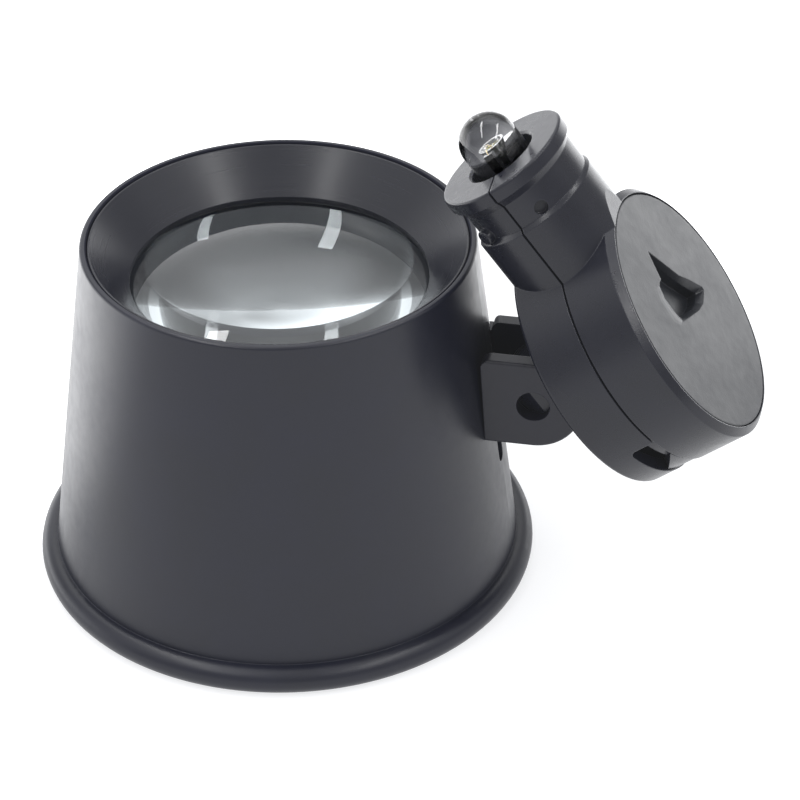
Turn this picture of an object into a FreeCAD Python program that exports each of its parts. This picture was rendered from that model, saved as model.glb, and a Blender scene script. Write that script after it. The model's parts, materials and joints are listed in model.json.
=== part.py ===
import FreeCAD, Part
import math
import os
from FreeCAD import Vector

# Eye loupe with a tilting lamp. Millimetres. +Z runs from the wide eye end to the lens end,
# the origin is the centre of the eye-end rim's resting plane, and the lamp is on the +X side.
# The lamp is modelled in its own frame: x along the case axis, positive away from the cup and
# zero at the seam, z along the neck. In names, R is a radius, X and Z are places on those axes,
# and HALF is a distance to both sides of the mid plane y = 0.

os.makedirs("parts", exist_ok=True)

# ---------------- eyecup, ring and lens ----------------
CUP_HEIGHT = 32.25       # rim to rim
CUP_TOP_R = 16.92        # outside, at the lens end
CUP_FOOT_R = 20.70       # outside of the cone where it meets the bead
CONE_FOOT_Z = 2.425      # height at which the cone has that radius
CUP_WALL = 1.55
BEAD_R = 1.25            # section of the bead round the eye end
BEAD_X, BEAD_Z = 20.95, 1.20
BORE_R = 16.35           # bore the retaining ring screws into
POCKET_R = 14.15         # lens pocket in the shell
LEDGE_R = 13.2           # ledge under the lens
RING_R = 16.30           # retaining ring outside
RING_Z = 28.15           # its underside
APERTURE_R = 12.85       # its clear opening
LENS_R = 14.0
LENS_UPPER_CURVE = 34.0  # radius of curvature of the upper face
LENS_LOWER_CURVE = 60.0
LENS_EDGE_Z = 23.64      # height of the lower face's edge
LENS_BEVEL = 0.12

# ---------------- hinge and bracket ----------------
TILT = 37.2              # lamp lean towards the optical axis, degrees
HINGE_X, HINGE_Z = 22.70, 20.20  # hinge axis; it runs along Y
LUG_X, LUG_Z = -10.34, 0.44      # the same axis in the lamp's frame
EAR_IN_HALF, EAR_OUT_HALF = 2.35, 3.75  # faces of the bracket's ears
EAR_R = 4.15             # round end of the ears
HOLE_R = 1.45            # hinge hole
STUB_R = 1.40            # stubs on the lamp's lug
STUB_HALF = 3.05
LUG_R = 2.85
LUG_HALF = 2.25
SLOT_HALF = 0.80         # bracket slot in the shell wall
SLOT_BOTTOM, SLOT_TOP = 11.6, 20.3
PLATE_TOP = 20.6         # top of the plate that joins the ears

# ---------------- lamp case ----------------
CASE_R = 11.5
INNER_W = 4.85           # seam to the inner face
OUTER_W = 5.18           # seam to the outer face
SEAM = 0.09              # half the visible seam gap
CHAMFER_R, CHAMFER_X = 10.93, 4.62  # outer edge chamfer: end radius and start
CASE_WALL = 1.20
ROOM_X = CASE_WALL - INNER_W  # cell room: floor of the inner half
ROOM_TOP = 2.35          # and inside face of the partition below the cap
NECK_R = 5.70            # wide part of the neck
NECK_X = -0.12           # its centre, a little to the inner side of the seam
NECK_STEP = 15.5         # where wide turns to narrow
COLLAR_R = 5.30          # narrow part below the flange
COLLAR_X = 0.10          # its centre: nearly flush with the neck on the outer side
FLANGE_R = 5.90
FLANGE_T = 1.15
FLANGE_TOP = 20.20
FACET_SLOPE = 0.150      # flat facet of the neck: rise per mm of z,
FACET_Z = 10.4           # and where it meets the case's outer face
NOTCH_MID, NOTCH_SPREAD = 212.0, 36.5  # pry notch: degrees from the neck, and half its angle
NOTCH_DEPTH = 2.40
SKIRT_R = 11.36          # skirt over the notch
SKIRT_REACH = 2.24       # past the seam
SKIRT_ANGLES = (179.0, 237.0)

# ---------------- switch cap ----------------
CAP_R = 10.76
CAP_SEAT_R = 10.84
CAP_T = 1.95
HUB_R = 2.92
HUB_HOLE_R = 3.02
HUB_END = 1.74
GROOVE_X = (1.96, 2.32)  # groove round the hub
GROOVE_R = 2.45
RECESS = 1.45            # depth of the finger recess
EASED = 0.60             # depth over which its edges are eased
EASED_LEVELS = (0.0, 0.04, 0.12, 0.24, 0.42, 0.64, 0.84, 1.0)  # sections, shares of that depth
# Recess outline: (z, y) on the face, (z, y) on the upright wall,
# and how far the edge between them is rolled (0 straight, 1 round).
RECESS_EDGE = [
    ((6.41, 0.20), (6.33, 0.20), 0.0), ((2.30, 2.14), (2.22, 2.00), 0.0),
    ((0.88, 3.33), (0.62, 2.98), 0.0), ((0.02, 3.94), (-0.20, 3.52), 0.0),
    ((-0.71, 4.48), (-0.72, 3.90), 0.0), ((-1.05, 4.43), (-0.84, 3.82), 0.0),
    ((-1.20, 3.48), (-0.88, 3.40), 0.0), ((-1.29, 2.57), (-0.92, 2.57), 0.0),
    ((-1.00, 1.10), (-0.65, 1.20), 0.0), ((0.05, -1.60), (0.25, -1.25), 0.3),
    ((0.75, -3.50), (0.52, -1.72), 0.8), ((1.60, -4.25), (1.10, -1.93), 1.0),
    ((2.49, -3.99), (1.90, -2.00), 1.0), ((3.71, -3.71), (2.85, -1.93), 1.0),
    ((4.49, -2.77), (3.72, -1.42), 1.0), ((4.20, -1.16), (4.05, -1.05), 0.3)]

# ---------------- cells, contacts and LED ----------------
WIPER_ANGLE = 180.0      # the wiper's long finger, from the neck, when the lamp is off
CELL_R = 8.0
CELL_T = 2.0
STRIP_NEAR, STRIP_FAR = 0.7, 1.7  # y of the contact strips' edges, mirrored between the two
STRIP_TOP = 9.30
STRIP_T = 0.18           # thickness of their bent ends
LEAD_HALF = 0.25         # half the thickness of the LED's leads
LEAD_FOOT = 9.34
LED_HOLE_R = 3.02
LED_R = 2.50
LED_FOOT = 15.72
DOME_Z = 21.87           # centre of the LED's dome
CUP_Z = 20.60            # foot of the cup that holds the chip


# ---------------- helpers ----------------
def lines(*points):
    """Straight edges through (x, z) points."""
    ends = [Vector(x, 0, z) for x, z in points]
    return [Part.makeLine(start, end) for start, end in zip(ends, ends[1:])]


def arc(start, middle, end):
    """One-edge list: an arc through three (x, z) points."""
    return [Part.Arc(*[Vector(x, 0, z) for x, z in (start, middle, end)]).toShape()]


def revolve(edges):
    return Part.Face(Part.Wire(edges)).revolve(Vector(0, 0, 0), Vector(0, 0, 1), 360)


def box(x0, x1, y0, y1, z0, z1):
    return Part.makeBox(x1 - x0, y1 - y0, z1 - z0, Vector(x0, y0, z0))


def prism(points, sweep):
    return Part.Face(Part.makePolygon(points + [points[0]])).extrude(sweep)


def profile(points, y0, y1):
    """(x, z) outline swept along Y."""
    return prism([Vector(x, y0, z) for x, z in points], Vector(0, y1 - y0, 0))


def disc(radius, x0, x1):
    """Cylinder on the X axis."""
    return Part.makeCylinder(radius, x1 - x0, Vector(x0, 0, 0), Vector(1, 0, 0))


def post(radius, z0, z1, x=0):
    """Cylinder along Z."""
    return Part.makeCylinder(radius, z1 - z0, Vector(x, 0, z0))


def pin(radius, x, z, half):
    """Cylinder along Y, centred on the mid plane."""
    return Part.makeCylinder(radius, 2 * half, Vector(x, -half, z), Vector(0, 1, 0))


def side_peg(radius, length, direction, start, z):
    """Cylinder pointing out of the collar at height z."""
    centre = Vector(NECK_X, 0, z)
    return Part.makeCylinder(radius, length, centre + direction * start, direction)


def radial(degrees):
    """Unit vector across the case axis, turned from the neck towards +Y."""
    angle = math.radians(degrees)
    return Vector(0, math.sin(angle), math.cos(angle))


def edges_at_x(shape, x):
    return [edge for edge in shape.Edges
            if abs(edge.BoundBox.XMin - x) < 1e-6 and abs(edge.BoundBox.XMax - x) < 1e-6]


def largest(shape):
    return max(shape.Solids, key=lambda solid: solid.Volume)


def clean(shape):
    """Merge split faces, unless that spoils the shape."""
    merged = shape.removeSplitter()
    return merged if merged.isValid() else shape


def export(name, shape):
    solids = clean(shape).Solids
    if len(solids) != 1:
        raise SystemExit("%s has %d solids, wanted 1" % (name, len(solids)))
    if not solids[0].isValid():
        raise SystemExit(name + " is not valid")
    solids[0].exportStep("parts/%s.step" % name)


def cone_r(z):
    """Outer radius of the cup's cone."""
    slope = (CUP_FOOT_R - CUP_TOP_R) / (CUP_HEIGHT - CONE_FOOT_Z)
    return CUP_TOP_R + slope * (CUP_HEIGHT - z)


def cone_inner_r(z):
    return cone_r(z) - CUP_WALL


# ---------------- eyecup ----------------
def shell():
    rest_half = math.sqrt(BEAD_R ** 2 - BEAD_Z ** 2)  # flat the bead rests on
    rest_in, rest_out = (BEAD_X - rest_half, 0.0), (BEAD_X + rest_half, 0.0)
    bulge = math.radians(12)
    bead_side = (BEAD_X + BEAD_R * math.cos(bulge), BEAD_Z + BEAD_R * math.sin(bulge))
    bead_top = (CUP_FOOT_R, BEAD_Z + math.sqrt(BEAD_R ** 2 - (BEAD_X - CUP_FOOT_R) ** 2))
    rim_round = 0.22
    rim_z = CUP_HEIGHT - rim_round
    rim_out, rim_in = (cone_r(rim_z), rim_z), (CUP_TOP_R - rim_round, CUP_HEIGHT)
    bore_lead = 0.11
    bore_floor = RING_Z - 0.04
    inside_top, inside_foot = 21.0, 1.5  # span of the straight inner wall
    foot = (cone_inner_r(inside_foot), inside_foot)
    body = revolve(
        lines(rest_in, rest_out)
        + arc(rest_out, bead_side, bead_top)
        + lines(bead_top, rim_out)
        + arc(rim_out, (CUP_TOP_R - 0.065, CUP_HEIGHT - 0.065), rim_in)
        + lines(rim_in,
                (BORE_R + bore_lead, CUP_HEIGHT),
                (BORE_R, CUP_HEIGHT - bore_lead),
                (BORE_R, bore_floor),
                (POCKET_R, bore_floor),
                (POCKET_R, LENS_EDGE_Z + 0.05),
                (LEDGE_R, LENS_EDGE_Z - 0.24),
                (LEDGE_R, LENS_EDGE_Z - 1.0),
                (cone_inner_r(inside_top), inside_top),
                foot)
        + arc(foot, (19.72, 0.42), rest_in))
    # bracket slot through the wall, round at its lower end
    x0, x1 = 14.0, 24.0
    round_z = SLOT_BOTTOM + SLOT_HALF
    slot_end = Part.makeCylinder(SLOT_HALF, x1 - x0, Vector(x0, 0, round_z), Vector(1, 0, 0))
    slot = box(x0, x1, -SLOT_HALF, SLOT_HALF, round_z, SLOT_TOP).fuse(slot_end)
    return body.cut(slot)


def retaining_ring():
    top = 32.10
    return revolve(lines(
        (APERTURE_R, RING_Z),
        (RING_R, RING_Z),
        (RING_R, top - 0.10),
        (RING_R - 0.10, top),
        (RING_R - 0.22, top),
        (APERTURE_R + 0.02, 28.62),
        (APERTURE_R, 28.55),
        (APERTURE_R, RING_Z)))


def lens():
    def sag(curve, radius):
        return curve - math.sqrt(curve ** 2 - radius * radius)

    # the ring's opening bears on the upper face
    face_r, mid_r = LENS_R - LENS_BEVEL, LENS_R * 0.5
    apex_top = RING_Z - 0.02 + sag(LENS_UPPER_CURVE, APERTURE_R)
    edge_top = apex_top - sag(LENS_UPPER_CURVE, face_r)
    edge_low = LENS_EDGE_Z
    apex_low = edge_low - sag(LENS_LOWER_CURVE, face_r)
    mid_low = (mid_r, apex_low + sag(LENS_LOWER_CURVE, mid_r))
    mid_top = (mid_r, apex_top - sag(LENS_UPPER_CURVE, mid_r))
    return revolve(
        arc((0, apex_low), mid_low, (face_r, edge_low))
        + lines((face_r, edge_low),
                (LENS_R, edge_low + LENS_BEVEL),
                (LENS_R, edge_top - LENS_BEVEL),
                (face_r, edge_top))
        + arc((face_r, edge_top), mid_top, (0, apex_top))
        + lines((0, apex_top), (0, apex_low)))


# ---------------- lamp bracket ----------------
def bracket():
    bottom, top = HINGE_Z - EAR_R, HINGE_Z + EAR_R
    plate_x = HINGE_X - LUG_R - 0.2
    ears = box(14.0, HINGE_X, -EAR_OUT_HALF, EAR_OUT_HALF, bottom, top)
    ears = clean(ears.fuse(pin(EAR_R, HINGE_X, HINGE_Z, EAR_OUT_HALF)))

    # soft edges on the outside of the ears
    soft = []
    for edge in ears.Edges:
        bounds = edge.BoundBox
        flat = abs(bounds.YMax - bounds.YMin) < 1e-6
        if flat and abs(abs(bounds.YMax) - EAR_OUT_HALF) < 1e-6 and bounds.XMax > 15:
            soft.append(edge)
    ears = ears.makeFillet(0.28, soft)

    gap = box(plate_x, 40, -EAR_IN_HALF, EAR_IN_HALF, 0, 40)
    gap = gap.fuse(box(10, 40, -EAR_IN_HALF, EAR_IN_HALF, PLATE_TOP, 40))
    part = ears.cut(gap)

    # the plate and the +Y ear follow the cone with a hair of clearance;
    # the -Y ear's edge towards the cup is straight
    clearance, low, high = 0.03, 5, 31
    part = part.cut(Part.makeCone(cone_r(low) + clearance, cone_r(high) + clearance,
                                  high - low, Vector(0, 0, low)))
    part = part.cut(profile([(10, 15), (18.68, 15), (18.06, 24.6), (10, 24.6)], -6.0, -1.6))

    # rounded upper corner of each ear on the cup's side
    corner_r = 0.85
    corner_x, corner_z = 18.08 + corner_r, top - corner_r
    corner = box(10, corner_x, -6, 6, corner_z, top + 1)
    corner = corner.cut(pin(corner_r, corner_x, corner_z, 7))
    part = part.cut(corner).cut(pin(HOLE_R, HINGE_X, HINGE_Z, 10))
    part = largest(part)

    # tongue through the slot, with a split snap barb behind the wall
    half = SLOT_HALF - 0.06
    tongue_top = SLOT_TOP - 0.15
    barb_x, root_x = cone_inner_r(bottom) - 0.12, 17.6
    tongue = box(15.9, plate_x - 0.2, -half, half, bottom + 0.6, tongue_top)
    barb = profile([(15.25, bottom + 0.9), (barb_x, bottom - 0.45), (barb_x, bottom + 0.7),
                    (root_x, bottom + 0.7), (root_x, tongue_top), (15.0, tongue_top)],
                   -half, half)
    part = part.fuse(tongue).fuse(barb)
    return part.cut(box(14.5, 17.7, -half - 0.1, half + 0.1, 18.3, 18.9))


# ---------------- lamp case ----------------
def stem():
    """Outside of neck, collar and flange, for both halves."""
    neck = post(NECK_R, 4.0, NECK_STEP, NECK_X)
    step_ends = [(NECK_R, NECK_X, NECK_STEP), (COLLAR_R + 0.03, COLLAR_X, NECK_STEP + 0.34)]
    step = Part.makeLoft([Part.Wire(Part.makeCircle(radius, Vector(x, 0, z), Vector(0, 0, 1)))
                          for radius, x, z in step_ends], True, True)
    collar = post(COLLAR_R, NECK_STEP, FLANGE_TOP - 0.2, COLLAR_X)
    flange_foot, flare_h = FLANGE_TOP - FLANGE_T, 0.9
    flare = Part.makeCone(COLLAR_R - 0.06, FLANGE_R - 0.12, flare_h,
                          Vector(0, 0, flange_foot - flare_h))
    flange = post(FLANGE_R, flange_foot, FLANGE_TOP)
    body = clean(neck.fuse(step).fuse(collar).fuse(flare).fuse(flange))
    # soft edge round the flange's top
    rim = [edge for edge in body.Edges
           if abs(edge.BoundBox.ZMin - FLANGE_TOP) < 1e-6
           and abs(edge.BoundBox.ZMax - FLANGE_TOP) < 1e-6 and edge.BoundBox.XMax > 5]
    return body.makeFillet(0.22, rim)


def hollow_out(body):
    """Cut the cell room, wire channel and LED pocket that both halves share."""
    room = disc(CASE_R - CASE_WALL, ROOM_X, ROOM_TOP)
    channel = box(-1.9, 1.9, -2.3, 2.3, 6.0, 15.7)
    pocket = post(3.02, 15.68, 16.93)
    throat = post(2.58, 16.8, 17.8)
    mouth = post(LED_HOLE_R, 17.6, 22.6)
    lip = Part.makeCone(LED_HOLE_R, LED_HOLE_R + 0.2, 0.2, Vector(0, 0, FLANGE_TOP - 0.19))
    channel = clean(channel.fuse(pocket).fuse(throat).fuse(mouth).fuse(lip))
    return body.cut(room).cut(channel)


def pry_notch():
    """Notch in the seam, low on the drum, with square-shouldered ends."""
    out, across = radial(NOTCH_MID), radial(NOTCH_MID + 90)
    half = CASE_R * math.sin(math.radians(NOTCH_SPREAD))
    near, far, top = 5.0, 14.0, 0.6
    base = Vector(-NOTCH_DEPTH, 0, 0)
    corners = [(near, -half), (far, -half), (far, half), (near, half)]
    notch = prism([base + out * reach + across * side for reach, side in corners],
                  Vector(top + NOTCH_DEPTH, 0, 0))
    ends = [edge for edge in edges_at_x(notch, -NOTCH_DEPTH)
            if abs(edge.Length - (far - near)) < 1e-3]
    return notch.makeFillet(0.55, ends).cut(disc(9.6, -3, 1))


def hinge_lug():
    root_x, root_half = -INNER_W + 0.5, 3.7
    web = profile([(LUG_X, LUG_Z - LUG_R), (root_x, LUG_Z - root_half),
                   (root_x, LUG_Z + root_half), (LUG_X, LUG_Z + LUG_R)], -LUG_HALF, LUG_HALF)
    return web.fuse(pin(LUG_R, LUG_X, LUG_Z, LUG_HALF))


def hinge_stubs():
    """Each stub's end is ramped on the side that enters the bracket first."""
    stubs = pin(STUB_R, LUG_X, LUG_Z, STUB_HALF)
    start_x, end_x = LUG_X + 0.25, LUG_X - 2.0
    for side in (-1, 1):
        corners = [(start_x, STUB_HALF + 0.02), (end_x, STUB_HALF - 1.15),
                   (end_x, STUB_HALF + 1), (start_x, STUB_HALF + 1)]
        stubs = stubs.cut(prism([Vector(x, side * y, LUG_Z - 4) for x, y in corners],
                                Vector(0, 0, 8)))
    return stubs


def collar_pip(side):
    """Small round pip on one side of the collar."""
    radius, z = 0.70, 16.35
    pip = side_peg(radius, 1.22, Vector(-0.60, side * 0.80, 0), COLLAR_R - 0.75, z)
    centre = Vector(NECK_X, 0, z)
    rim = [edge for edge in pip.Edges
           if abs(edge.Length - 2 * math.pi * radius) < 1e-3
           and (edge.CenterOfMass - centre).Length > COLLAR_R]
    return pip.makeFillet(0.18, rim)


def case_inner():
    # the neck stops at the inner face, the collar and flange run full width
    keep = box(-INNER_W, -SEAM, -20, 20, 0, 40)
    keep = keep.fuse(box(-20, -SEAM, -20, 20, NECK_STEP + 0.65, 40))
    half_stem = stem().common(keep)
    drum = disc(CASE_R, -INNER_W, -SEAM)
    drum = drum.makeFillet(0.35, edges_at_x(drum, -INNER_W))
    body = hollow_out(clean(drum.fuse(half_stem)))
    # rebate that takes the other half's tongue
    body = body.cut(disc(10.72, -1.30, 0.5))
    # cup that holds the cells, open towards the neck
    cell_cup = disc(9.05, ROOM_X - 0.1, -0.3).cut(disc(8.15, ROOM_X - 0.2, 1))
    body = body.fuse(cell_cup.cut(box(-10, 5, -2.4, 2.4, 4, 14)))
    body = body.cut(pry_notch())
    pad = disc(6.2, -INNER_W - 0.35, -INNER_W + 0.2)
    body = body.fuse(hinge_lug()).fuse(hinge_stubs()).fuse(pad)
    for side in (-1, 1):
        body = body.fuse(collar_pip(side))
    return body


def skirt():
    """Covers most of the pry notch; cut slantwise so that a blade can get in behind its end."""
    start, end = SKIRT_ANGLES
    apex = Vector(-3, 0, 0)
    wedge = prism([apex, apex + radial(start) * 30, apex + radial((start + end) / 2) * 40,
                   apex + radial(end) * 30], Vector(6, 0, 0))
    body = disc(SKIRT_R, -SKIRT_REACH, SEAM + 1.0).cut(disc(10.35, -3, 3)).common(wedge)
    slant_angle = 228.0
    out, across = radial(slant_angle), radial(slant_angle + 90)
    corners = [(0.05, 1.6), (-2.7, -2.5), (-2.7, 9), (0.05, 9)]  # x, distance across
    body = body.cut(prism([Vector(x, 0, 0) + across * side + out * 5 for x, side in corners],
                          out * 12))
    # shallow groove that carries the seam line across the skirt
    return body.cut(disc(SKIRT_R + 1, -SEAM, SEAM).cut(disc(SKIRT_R - 0.12, -1, 1)))


def case_outer():
    chamfer = Part.makeCone(CASE_R, CHAMFER_R, OUTER_W - CHAMFER_X,
                            Vector(CHAMFER_X, 0, 0), Vector(1, 0, 0))
    drum = disc(CASE_R, SEAM, CHAMFER_X).fuse(chamfer)
    half_stem = stem().common(box(SEAM, 20, -20, 20, 0, 40))

    # the neck stands a hair proud of the face and slopes down to it in a flat facet
    low, high = [(OUTER_W + FACET_SLOPE * (z - FACET_Z), z) for z in (2.0, 15.0)]
    half_stem = half_stem.cut(profile([low, high, (9, high[1]), (9, low[1])], -10, 10))

    # shallow dimple on each side of the collar
    angle = math.radians(62.5)
    for side in (-1, 1):
        direction = Vector(math.cos(angle), side * math.sin(angle), 0)
        half_stem = half_stem.cut(side_peg(0.60, 1.2, direction, COLLAR_R - 0.45, 16.45))

    body = hollow_out(clean(drum.fuse(half_stem)))
    body = body.cut(disc(CAP_SEAT_R, OUTER_W - CAP_T - 0.08, 12))
    body = body.cut(disc(HUB_HOLE_R, 0, 8))
    # tongue that locates the other half, left out at the neck
    tongue = disc(10.66, -1.20, SEAM + 1.0).cut(disc(10.30, -2, 3))
    tongue = tongue.cut(box(-3, 3, -6.5, 6.5, 4, 14))
    return body.fuse(tongue).fuse(skirt())


# ---------------- switch ----------------
def recess_section(share, x):
    """Outline of the finger recess at a share of the eased depth, drawn at x."""
    points = []
    for (face_z, face_y), (wall_z, wall_y), roll in RECESS_EDGE:
        straight = 1 - share
        rolled = 1 - math.sqrt(1 - (1 - share) ** 2)
        blend = (1 - roll) * straight + roll * rolled
        points.append(Vector(x, wall_y + (face_y - wall_y) * blend,
                             wall_z + (face_z - wall_z) * blend))
    return Part.makePolygon(points + [points[0]])


def switch_cap():
    body = disc(CAP_R, OUTER_W - CAP_T, OUTER_W)
    body = body.makeFillet(0.12, edges_at_x(body, OUTER_W))
    hub = disc(HUB_R, HUB_END, OUTER_W - CAP_T + 0.1)
    body = body.fuse(hub).cut(disc(5, *GROOVE_X).cut(disc(GROOVE_R, 1, 3)))
    # arrow-shaped recess pointing at the LED: steep walls, with the -Y shoulder
    # rolled over so that a fingertip slides in
    sections = [recess_section(0.0, OUTER_W + 0.3)]
    sections += [recess_section(share, OUTER_W - EASED * share) for share in EASED_LEVELS]
    sections.append(recess_section(1.0, OUTER_W - RECESS))
    return body.cut(Part.makeLoft(sections, True, True))


def retaining_clip():
    """Push-on clip that keeps the cap in the case."""
    clip = disc(4.3, 2.00, 2.28).cut(disc(2.50, 1, 3))
    return clip.cut(box(1, 3, -1.0, 1.0, -6, 0))


def wiper():
    """Leaf spring on the hub's end: the short finger brushes the cell, the long one the arc."""
    back, front = 1.54, 1.72
    short = profile([(front, 0), (back, 0), (back, -3.4), (0.84, -4.9), (0.84, -5.9),
                     (1.02, -5.9), (1.02, -4.97), (front, -3.47)], -0.8, 0.8)
    long = profile([(front, 0), (back, 0), (back, 5.0), (1.88, 5.5), (1.88, 6.4),
                    (2.06, 6.4), (2.06, 5.42), (front, 4.93)], -0.7, 0.7)
    leaf = disc(2.3, back, front).fuse(short).fuse(long).fuse(disc(0.9, 1.60, HUB_END))
    leaf.rotate(Vector(0, 0, 0), Vector(1, 0, 0), WIPER_ANGLE)
    return leaf


# ---------------- cells and contacts ----------------
def coin_cell(x):
    """Can with a rounded rim, and the smaller negative face on its +X side."""
    can = disc(CELL_R, x, x + 1.72)
    can = can.makeFillet(0.2, edges_at_x(can, x))
    return can.fuse(disc(6.9, x + 1.7, x + CELL_T))


def contact_positive():
    """Dished plate behind the cells with a strip that bends up to the LED's -Y lead."""
    back, front = -3.60, -3.42
    plate = disc(4.6, back, front).fuse(disc(2.0, -3.50, -3.24))
    strip = box(back, front, -STRIP_FAR, -STRIP_NEAR, 0, STRIP_TOP)
    bend = box(back, LEAD_HALF, -STRIP_FAR, -STRIP_NEAR, STRIP_TOP - STRIP_T, STRIP_TOP)
    return plate.fuse(strip.fuse(bend))


def contact_negative():
    """Arc under the partition that the wiper slides on to, with a strip to the +Y lead."""
    back, front = 2.10, 2.30
    centre = Vector(1, 0, 0)
    gap = prism([centre, centre + radial(198) * 20, centre + radial(162) * 20],
                Vector(2, 0, 0))
    contact_arc = disc(7.4, back, front).cut(disc(4.6, 2, 3)).cut(gap)
    strip = box(back, front, STRIP_NEAR, STRIP_FAR, 6.5, STRIP_TOP)
    bend = box(-LEAD_HALF, front, STRIP_NEAR, STRIP_FAR, STRIP_TOP - STRIP_T, STRIP_TOP)
    return contact_arc.fuse(strip.fuse(bend))


# ---------------- 5 mm LED ----------------
def led_cathode():
    """Lead on the +Y side that carries the chip's cup."""
    lead = box(-LEAD_HALF, LEAD_HALF, 0.95, 1.45, LEAD_FOOT, CUP_Z - 0.35)
    arm = box(-LEAD_HALF, LEAD_HALF, 0.1, 1.45, CUP_Z - 1.05, CUP_Z - 0.15)
    head = box(-0.35, 0.35, 0.0, 1.6, CUP_Z - 0.35, CUP_Z + 0.55)
    cup = Part.makeCone(0.45, 0.78, 1.05, Vector(0, 0, CUP_Z))
    well = Part.makeCone(0.34, 0.66, 0.72, Vector(0, 0, CUP_Z + 0.35))
    return lead.fuse(arm).fuse(head).fuse(cup).cut(well)


def led_anode():
    lead = box(-LEAD_HALF, LEAD_HALF, -1.45, -0.95, LEAD_FOOT, CUP_Z - 0.05)
    return lead.fuse(box(-0.35, 0.35, -1.6, -1.0, CUP_Z - 0.75, CUP_Z + 0.95))


def bond_wire():
    stations = [(-0.1, 0.89), (-0.45, 1.27), (-0.95, 1.31), (-1.3, 0.95)]  # y, height over CUP_Z
    points = [Vector(0, y, CUP_Z + height) for y, height in stations]
    curve = Part.BSplineCurve()
    curve.interpolate(points)
    section = Part.Wire(Part.makeCircle(0.05, points[0], Vector(0, -0.6, 0.65)))
    return Part.Wire(curve.toShape()).makePipeShell([section], True, False)


def led_body(inserts, bond):
    """Clear body, moulded round everything inside it."""
    body = post(LED_R, LED_FOOT + 0.5, DOME_Z)
    body = body.fuse(Part.makeSphere(LED_R, Vector(0, 0, DOME_Z)))
    body = clean(body.fuse(post(2.9, LED_FOOT, LED_FOOT + 1.0)))
    for insert in inserts:
        body = body.cut(insert)
    # the thin swept wire may not cut cleanly; the body then stays without its channel
    try:
        channelled = body.cut(bond)
        if channelled.isValid() and len(channelled.Solids) == 1:
            body = channelled
    except Exception:
        pass
    return largest(body)


def led_parts():
    cathode, anode = led_cathode(), led_anode()
    chip = box(-0.17, 0.17, -0.17, 0.17, CUP_Z + 0.36, CUP_Z + 0.51)
    phosphor = Part.makeCone(0.33, 0.57, 0.55, Vector(0, 0, CUP_Z + 0.36)).cut(chip)
    bond = bond_wire()
    return {
        "led_body": led_body([cathode, anode, phosphor, chip], bond),
        "led_cathode_lead": cathode,
        "led_anode_lead": anode,
        "led_phosphor": phosphor,
        "led_chip": chip,
        "led_bond_wire": largest(bond.cut(cathode).cut(anode).cut(phosphor)),
    }


# ---------------- build ----------------
def lamp_placement():
    """Lean the lamp's frame back and bring its lug on to the hinge axis."""
    cosine, sine = math.cos(math.radians(TILT)), math.sin(math.radians(TILT))
    centre = Vector(HINGE_X - LUG_X * cosine + LUG_Z * sine, 0,
                    HINGE_Z - LUG_X * sine - LUG_Z * cosine)
    return FreeCAD.Placement(centre, FreeCAD.Rotation(Vector(0, 1, 0), -TILT))


cup_pieces = {
    "loupe_shell": shell(),
    "lens_retaining_ring": retaining_ring(),
    "magnifier_lens": lens(),
    "lamp_bracket": bracket(),
}
lamp_pieces = {
    "lamp_case_inner": case_inner(),
    "lamp_case_outer": case_outer(),
    "switch_cap": switch_cap(),
    "cap_retaining_clip": retaining_clip(),
    "switch_wiper": wiper(),
    "battery_cell_rear": coin_cell(-3.22),
    "battery_cell_front": coin_cell(-1.21),
    "battery_contact_positive": contact_positive(),
    "battery_contact_negative": contact_negative(),
    **led_parts(),
}
for name, shape in cup_pieces.items():
    export(name, shape)
placement = lamp_placement()
for name, shape in lamp_pieces.items():
    placed = shape.copy()
    placed.Placement = placement.multiply(placed.Placement)
    export(name, placed)
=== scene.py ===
"""Eye loupe with a tilting lamp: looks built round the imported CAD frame.

Metres, +Z up. The loupe's axis is the Z axis. The floor lies just under the lowest point,
and the camera looks down from the -Y side, so left is -X and away is +Y.
"""
import json
import math

import bmesh
import bpy
from mathutils import Matrix, Vector


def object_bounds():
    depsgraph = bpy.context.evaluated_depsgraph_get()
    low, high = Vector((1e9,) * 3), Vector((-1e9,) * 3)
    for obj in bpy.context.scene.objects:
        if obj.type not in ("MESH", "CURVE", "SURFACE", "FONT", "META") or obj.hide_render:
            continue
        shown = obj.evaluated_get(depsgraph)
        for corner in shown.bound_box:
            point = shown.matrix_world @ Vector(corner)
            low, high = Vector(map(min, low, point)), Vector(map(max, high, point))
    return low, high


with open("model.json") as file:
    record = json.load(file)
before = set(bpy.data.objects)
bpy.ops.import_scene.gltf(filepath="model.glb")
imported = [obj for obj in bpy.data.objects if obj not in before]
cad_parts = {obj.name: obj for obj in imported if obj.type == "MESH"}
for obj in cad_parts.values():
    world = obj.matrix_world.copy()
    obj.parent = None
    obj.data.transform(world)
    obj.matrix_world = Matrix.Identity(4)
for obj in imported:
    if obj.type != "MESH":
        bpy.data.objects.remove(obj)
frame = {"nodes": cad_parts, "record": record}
cad_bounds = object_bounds()
scene = bpy.context.scene

MM_PER_M = 1000.0
AXIS_X, AXIS_Y, AXIS_Z = (1, 0, 0), (0, 1, 0), (0, 0, 1)


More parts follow.
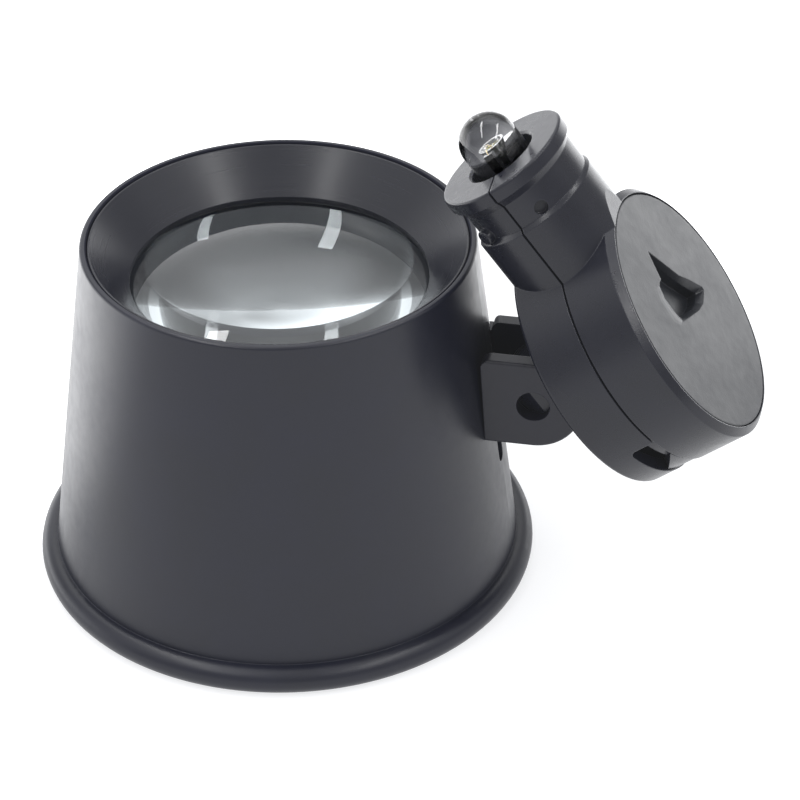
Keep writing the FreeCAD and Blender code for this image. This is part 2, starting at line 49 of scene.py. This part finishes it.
# ------------------------------------------------------------------ node helpers
class Tree:
    """The shader nodes of one material or world."""

    def __init__(self, owner, output="OutputMaterial"):
        owner.use_nodes = True
        self.owner = owner
        self.node_tree = owner.node_tree
        self.node_tree.nodes.clear()
        self.output = self.add(output)

    def feed(self, socket, value):
        """Link a socket to an input, or set the input to a plain value. None leaves it alone."""
        if value is None:
            return
        if isinstance(value, bpy.types.NodeSocket):
            self.node_tree.links.new(value, socket)
        elif socket.type == "RGBA":
            socket.default_value = (*value, 1.0)
        else:
            socket.default_value = value

    def add(self, kind, inputs=None, **settings):
        node = self.node_tree.nodes.new("ShaderNode" + kind)
        for key, value in settings.items():
            setattr(node, key, value)
        for key, value in (inputs or {}).items():
            self.feed(node.inputs[key], value)
        return node

    def calc(self, operation, first, second=None):
        return self.add("Math", {0: first, 1: second}, operation=operation).outputs[0]

    def vector(self, operation, first, second=None):
        return self.add("VectorMath", {0: first, 1: second}, operation=operation).outputs[0]

    def dot(self, first, second):
        node = self.add("VectorMath", {0: first, 1: second}, operation="DOT_PRODUCT")
        return node.outputs["Value"]

    def object_position(self):
        return self.add("TexCoord").outputs["Object"]

    def coords_mm(self):
        """Object position in millimetres."""
        inputs = {0: self.object_position(), "Scale": MM_PER_M}
        return self.add("VectorMath", inputs, operation="SCALE").outputs[0]

    def noise(self, position, scale, detail=2.0, rough=0.5):
        inputs = {"Vector": position, "Scale": scale, "Detail": detail, "Roughness": rough}
        return self.add("TexNoise", inputs, noise_dimensions="3D").outputs["Fac"]

    def ramp(self, value, over, to=(0.0, 1.0), interpolation="LINEAR"):
        """Map the range `over` to the range `to`, clamped at both ends."""
        inputs = {"Value": value, "From Min": over[0], "From Max": over[1],
                  "To Min": to[0], "To Max": to[1]}
        return self.add("MapRange", inputs, interpolation_type=interpolation).outputs["Result"]

    def mix(self, factor, first, second):
        """Blend two colours."""
        return self.add("Mix", {0: factor, 6: first, 7: second}, data_type="RGBA").outputs[2]

    def bump(self, height, strength, distance, normal=None):
        inputs = {"Height": height, "Strength": strength, "Distance": distance, "Normal": normal}
        return self.add("Bump", inputs).outputs["Normal"]

    def bevel(self, radius):
        """Normal rounded over sharp edges."""
        return self.add("Bevel", {"Radius": radius}, samples=6).outputs["Normal"]

    def principled(self, inputs):
        return self.add("BsdfPrincipled", inputs).outputs["BSDF"]

    def surface(self, shader):
        """Send a shader to the output and return the finished material or world."""
        self.feed(self.output.inputs["Surface"], shader)
        return self.owner

    def offset(self):
        """Object position measured from the loupe's axis origin."""
        return self.vector("SUBTRACT", self.object_position(), (0, 0, 0))

    def along(self, offset, axis):
        """Millimetres of an offset along one axis."""
        return self.calc("MULTIPLY", self.dot(offset, axis), MM_PER_M)

    def radius(self, offset):
        """Millimetres from the Z axis."""
        x, y = (self.along(offset, axis) for axis in (AXIS_X, AXIS_Y))
        squares = self.calc("ADD", self.calc("MULTIPLY", x, x), self.calc("MULTIPLY", y, y))
        return self.calc("SQRT", squares)

    def painted_edge_highlight(self, radius, base, edge_lit, amount):
        """Base colour lightened where the surface turns a sharp edge: a painted highlight."""
        rounded = self.bevel(radius)
        facing = self.dot(rounded, self.add("NewGeometry").outputs["Normal"])
        return self.mix(self.ramp(facing, over=(1.0, 0.90), to=(0.0, amount)), base, edge_lit)


def new_material(name):
    return Tree(bpy.data.materials.new(name))


def scaled(colour, factor):
    return tuple(channel * factor for channel in colour)


# ------------------------------------------------------------------ materials
PLASTIC_SPECULAR = 0.42
# The faint emission is painted light, a glow on all the plastic standing in for camera haze, so
# that deep gaps read as dark grey as they do through a camera.
PLASTIC = {"IOR": 1.5, "Emission Color": (0.92, 0.96, 1.0), "Emission Strength": 0.0095}
MOULDED_EDGE = 0.00012  # rounding of moulded edges
HIGHLIGHT_REACH = 1.6  # painted highlight band, in edge roundings


def inward_facing(t):
    """1 where the surface faces the loupe's axis, 0 elsewhere."""
    geometry = t.add("NewGeometry")
    flat = t.vector("MULTIPLY", geometry.outputs["Position"], (1, 1, 0))
    outward = t.vector("NORMALIZE", flat)
    facing = t.dot(outward, geometry.outputs["True Normal"])
    return t.ramp(facing, over=(-0.25, -0.15), to=(1.0, 0.0))


def black_plastic(name, base, rough, grain, grain_scale, dull_inside=False):
    """Moulded plastic: slow tone drift, fine mould grain and edges lightened as a painted
    highlight.
    """
    t = new_material(name)
    position = t.coords_mm()
    drift = t.noise(position, scale=0.16, detail=3.0, rough=0.55)
    fine = t.noise(position, scale=grain_scale, detail=2.5, rough=0.62)
    coarse = t.noise(position, scale=grain_scale * 0.22)

    colour = t.mix(t.ramp(drift, over=(0.35, 0.65)), scaled(base, 0.86), scaled(base, 1.16))
    speckle = t.ramp(fine, over=(0.35, 0.75), to=(0.0, 0.35))
    colour = t.mix(speckle, colour, scaled(base, 1.55))
    # painted highlight: base colour lightened along sharp edges
    edge_lit = tuple(min(1, channel * 2.2 + 0.01) for channel in base)
    colour = t.painted_edge_highlight(MOULDED_EDGE * HIGHLIGHT_REACH, colour, edge_lit, amount=0.35)

    roughness = t.calc("ADD",
                       t.ramp(drift, over=(0.3, 0.7), to=(rough - 0.035, rough + 0.035)),
                       t.ramp(coarse, over=(0.3, 0.7), to=(-0.02, 0.03)))
    normal = t.bump(fine, strength=grain, distance=0.00002, normal=t.bevel(MOULDED_EDGE))
    normal = t.bump(coarse, strength=grain * 0.5, distance=0.00003, normal=normal)

    specular = PLASTIC_SPECULAR
    if dull_inside:
        # the surface that faces the axis was left matt by the mould: rougher and less glossy
        inside = inward_facing(t)
        roughness = t.calc("ADD", roughness, t.calc("MULTIPLY", inside, 0.35))
        specular = t.calc("SUBTRACT", specular, t.calc("MULTIPLY", inside, 0.30))
    return t.surface(t.principled({**PLASTIC, "Base Color": colour, "Roughness": roughness,
                                   "Normal": normal, "Specular IOR Level": specular}))


def ring_plastic():
    """Black plastic with fine turned grooves round the Z axis."""
    t = new_material("ring_black")
    offset = t.offset()
    slope = 0.6  # share of height in the groove pattern, so that upright walls are grooved too
    height = t.calc("MULTIPLY", t.along(offset, AXIS_Z), slope)
    across = t.add("CombineXYZ", {0: t.calc("ADD", t.radius(offset), height)}).outputs[0]
    position = t.coords_mm()
    groove = t.noise(across, scale=5.0)
    drift = t.noise(position, scale=0.2)
    fine = t.noise(position, scale=14.0, rough=0.6)

    colour = t.mix(t.ramp(groove, over=(0.35, 0.65)),
                   (0.0044, 0.0050, 0.0112), (0.0080, 0.0086, 0.0155))
    # painted highlight: base colour lightened along sharp edges
    colour = t.painted_edge_highlight(0.00016, colour, edge_lit=(0.03, 0.031, 0.034), amount=0.45)
    roughness = t.calc("ADD", t.ramp(groove, over=(0.3, 0.7), to=(0.22, 0.28)),
                       t.ramp(drift, over=(0.3, 0.7), to=(-0.02, 0.02)))
    normal = t.bump(groove, strength=0.05, distance=0.00003, normal=t.bevel(radius=0.0001))
    normal = t.bump(fine, strength=0.05, distance=0.00002, normal=normal)
    tangent = t.add("Tangent", direction_type="RADIAL", axis="Z").outputs[0]
    return t.surface(t.principled({**PLASTIC, "Base Color": colour, "Roughness": roughness,
                                   "Normal": normal, "Specular IOR Level": PLASTIC_SPECULAR,
                                   "Anisotropic": 0.6, "Tangent": tangent}))


def clear_glass(name, ior, tint, painted_shade_rim=False):
    """Faintly smeared glass; a lens may have a dark matt rim, painted shade where the lens edge
    is seen against shade.
    """
    t = new_material(name)
    position = t.coords_mm()
    smear = t.noise(position, scale=0.25, detail=3.0, rough=0.55)
    roughness = t.ramp(smear, over=(0.45, 0.75), to=(0.0, 0.012))
    shader = t.principled({"Base Color": tint, "Roughness": roughness, "IOR": ior,
                           "Transmission Weight": 1.0})
    if painted_shade_rim:
        # painted shade: the lens edge beyond 13.9 mm is coloured dark matt
        grit = t.noise(position, scale=12.0, rough=0.6)
        rim_shade = t.principled({
            "Base Color": t.mix(grit, (0.006, 0.006, 0.007), (0.020, 0.020, 0.022)),
            "Roughness": 0.7})
        # the painted shade starts at this radius, in millimetres
        rim = t.ramp(t.radius(t.offset()), over=(13.90, 13.93))
        shader = t.add("MixShader", {0: rim, 1: shader, 2: rim_shade}).outputs[0]
    return t.surface(shader)


def metal(name, base, rough, brushed="X"):
    """Metal with brush lines drawn out along one axis, and blotches of tone."""
    t = new_material(name)
    position = t.coords_mm()
    stretch = tuple(0.6 if axis == brushed else 9.0 for axis in "XYZ")
    stretched = t.add("Mapping", {"Vector": position, "Scale": stretch}).outputs[0]
    lines = t.noise(stretched, scale=1.5, detail=4.0, rough=0.6)
    blotch = t.noise(position, scale=0.7)
    return t.surface(t.principled({
        "Base Color": t.mix(t.ramp(blotch, over=(0.3, 0.7)), scaled(base, 0.85), base),
        "Metallic": 1.0,
        "Roughness": t.ramp(lines, over=(0.3, 0.7), to=(rough * 0.8, rough * 1.3)),
        "Normal": t.bump(lines, strength=0.15, distance=0.00001)}))


def phosphor():
    """Grainy yellow phosphor."""
    t = new_material("phosphor")
    grain = t.noise(t.coords_mm(), scale=9.0, detail=3.0, rough=0.6)
    return t.surface(t.principled({
        "Base Color": t.mix(grain, (0.42, 0.38, 0.14), (0.55, 0.50, 0.22)),
        "Roughness": 0.5, "Subsurface Weight": 0.2,
        "Normal": t.bump(grain, strength=0.2, distance=0.00002)}))


def chip():
    """Mottled blue-grey chip."""
    t = new_material("chip")
    mottle = t.noise(t.coords_mm(), scale=20.0)
    return t.surface(t.principled({
        "Base Color": t.mix(mottle, (0.20, 0.28, 0.40), (0.34, 0.44, 0.56)),
        "Roughness": 0.25}))


MATERIALS = {
    "shell_black": black_plastic("shell_black", base=(0.0044, 0.0050, 0.0128), rough=0.34,
                                 grain=0.10, grain_scale=5.0, dull_inside=True),
    "ring_black": ring_plastic(),
    "lens_glass": clear_glass("lens_glass", ior=1.52, tint=(0.86, 0.925, 0.95),
                              painted_shade_rim=True),
    "bracket_black": black_plastic("bracket_black", base=(0.0044, 0.0044, 0.0115), rough=0.36,
                                   grain=0.12, grain_scale=6.0),
    "lamp_black": black_plastic("lamp_black", base=(0.0046, 0.0050, 0.0108), rough=0.27,
                                grain=0.20, grain_scale=6.5),
    "cap_black": black_plastic("cap_black", base=(0.0056, 0.0066, 0.0100), rough=0.36,
                               grain=0.40, grain_scale=5.0),
    "led_clear": clear_glass("led_clear", ior=1.54, tint=(0.98, 0.985, 0.99)),
    "lead_metal": metal("lead_metal", base=(0.30, 0.30, 0.29), rough=0.30),
    "phosphor": phosphor(),
    "chip": chip(),
    "bond_gold": metal("bond_gold", base=(0.95, 0.74, 0.36), rough=0.18),
    "cell_steel": metal("cell_steel", base=(0.74, 0.74, 0.73), rough=0.28, brushed="Y"),
    "contact_metal": metal("contact_metal", base=(0.76, 0.75, 0.70), rough=0.25, brushed="Z"),
}

for subpart in frame["record"]["subparts"]:
    slots = frame["nodes"][subpart["node"]].data.materials
    slots.clear()
    slots.append(MATERIALS[subpart["material_slot"]])

# ------------------------------------------------------------------ stage
# Bright patches of the white studio; the last one darkens. Angles in degrees:
# azimuth from +X towards +Y, elevation, full inside this angle, gone outside it, strength
LOBES = (
    (63, -6, 8, 22, 1.80), (122, -4, 10, 40, 1.05), (176, -4, 8, 36, 1.7),
    (150, -28, 12, 46, 0.55), (5, 40, 5, 30, 0.45), (-158, 40, 5, 30, 0.45),
    (106, 54, 8, 36, 1.0), (105, 26, 3, 15, -0.35),
)


def lobe_sum(t, direction):
    """Sum of the soft patches seen in a direction."""
    total = None
    for *angles, strength in LOBES:
        azimuth, elevation, inner, outer = map(math.radians, angles)
        centre = (math.cos(elevation) * math.cos(azimuth),
                  math.cos(elevation) * math.sin(azimuth), math.sin(elevation))
        patch = t.ramp(t.dot(direction, centre), over=(math.cos(outer), math.cos(inner)),
                       to=(0.0, strength), interpolation="SMOOTHSTEP")
        total = patch if total is None else t.calc("ADD", total, patch)
    return total


def floor_material():
    """White acrylic lit softly from below, and brighter towards the lit walls."""
    glow_centre = (0, 0, 0.022)
    even_glow = 0.74
    t = new_material("floor")
    tone = t.noise(t.coords_mm(), scale=0.02, detail=3.0)
    offset = t.vector("SUBTRACT", t.add("NewGeometry").outputs["Position"], glow_centre)
    glow = t.calc("ADD", lobe_sum(t, t.vector("NORMALIZE", offset)), even_glow)
    return t.surface(t.principled({
        "Base Color": t.mix(tone, (0.34, 0.345, 0.35), (0.36, 0.36, 0.36)),
        "Roughness": 0.6, "Specular IOR Level": 0.2,
        "Emission Color": (0.98, 0.985, 1.0), "Emission Strength": glow}))


def add_floor(size, gap):
    """Flat sheet, a small gap under the lowest point."""
    bm = bmesh.new()
    bmesh.ops.create_grid(bm, x_segments=2, y_segments=2, size=size)
    mesh = bpy.data.meshes.new("floor")
    bm.to_mesh(mesh)
    bm.free()
    floor = bpy.data.objects.new("floor", mesh)
    floor.location.z = cad_bounds[0][2] - gap
    scene.collection.objects.link(floor)
    mesh.materials.append(floor_material())


def studio_world(base, top, seen):
    """A white studio: an even base, the soft patches and a ceiling brighter by `top`.

    Looked at directly it is at least `seen`, plain white, as beyond the edge of the floor.
    """
    world = bpy.data.worlds.new("studio")
    scene.world = world
    t = Tree(world, output="OutputWorld")
    direction = t.add("TexCoord").outputs["Generated"]
    upward = t.add("SeparateXYZ", {0: direction}).outputs[2]
    ceiling = t.ramp(upward, over=(0.35, 0.95), to=(base, base + top),
                     interpolation="SMOOTHSTEP")
    light = t.calc("ADD", lobe_sum(t, direction), ceiling)
    direct = t.calc("MULTIPLY", t.add("LightPath").outputs["Is Camera Ray"], seen)
    strength = t.calc("MAXIMUM", light, direct)
    inputs = {"Color": (0.975, 0.985, 1.0), "Strength": strength}
    t.surface(t.add("Background", inputs).outputs[0])


add_floor(size=3.0, gap=0.00002)
studio_world(base=0.62, top=0.30, seen=1.06)

# ------------------------------------------------------------------ lights
TUBE_WIDTH = 0.040
TUBE_Z = 0.42
TUBE_RADIANCE = 11
# two overhead tubes running away from the camera: name, near end, far end (x, y)
TUBES = (
    ("tube_left", (-0.150, -0.40), (-0.158, 0.155)),
    ("tube_right", (0.345, -0.37), (0.180, 0.155)),
)


def add_tube(name, near, far):
    """Strip light between two points, turned to face the loupe."""
    along = (far - near).normalized()
    middle = (near + far) / 2
    away = (middle - middle.dot(along) * along).normalized()
    length = (far - near).length
    light = bpy.data.lights.new(name, "AREA")
    light.shape = "RECTANGLE"
    light.size = TUBE_WIDTH
    light.size_y = length
    light.energy = TUBE_RADIANCE * math.pi * TUBE_WIDTH * length
    tube = bpy.data.objects.new(name, light)
    tube.location = middle
    tube.rotation_euler = Matrix((along.cross(away), along, away)).transposed().to_euler()
    scene.collection.objects.link(tube)


for name, near, far in TUBES:
    add_tube(name, Vector((*near, TUBE_Z)), Vector((*far, TUBE_Z)))

# ------------------------------------------------------------------ camera
# the camera's own axes in the scene, and its place
CAMERA_RIGHT = (0.98190, 0.18932, -0.00517)
CAMERA_UP = (-0.10364, 0.55996, 0.82201)
CAMERA_BACK = (0.15852, -0.80660, 0.56945)
CAMERA_PLACE = (0.0526098, -0.2145538, 0.1682755)

lens = bpy.data.cameras.new("camera")
lens.lens = 137.04
lens.sensor_width = 36.0
lens.clip_start = 0.01
lens.clip_end = 20.0
camera = bpy.data.objects.new("camera", lens)
pose = Matrix((CAMERA_RIGHT, CAMERA_UP, CAMERA_BACK)).transposed().to_4x4()
pose.translation = CAMERA_PLACE
camera.matrix_world = pose
scene.collection.objects.link(camera)
scene.camera = camera
scene.view_settings.view_transform = "Standard"
scene.view_settings.look = "None"
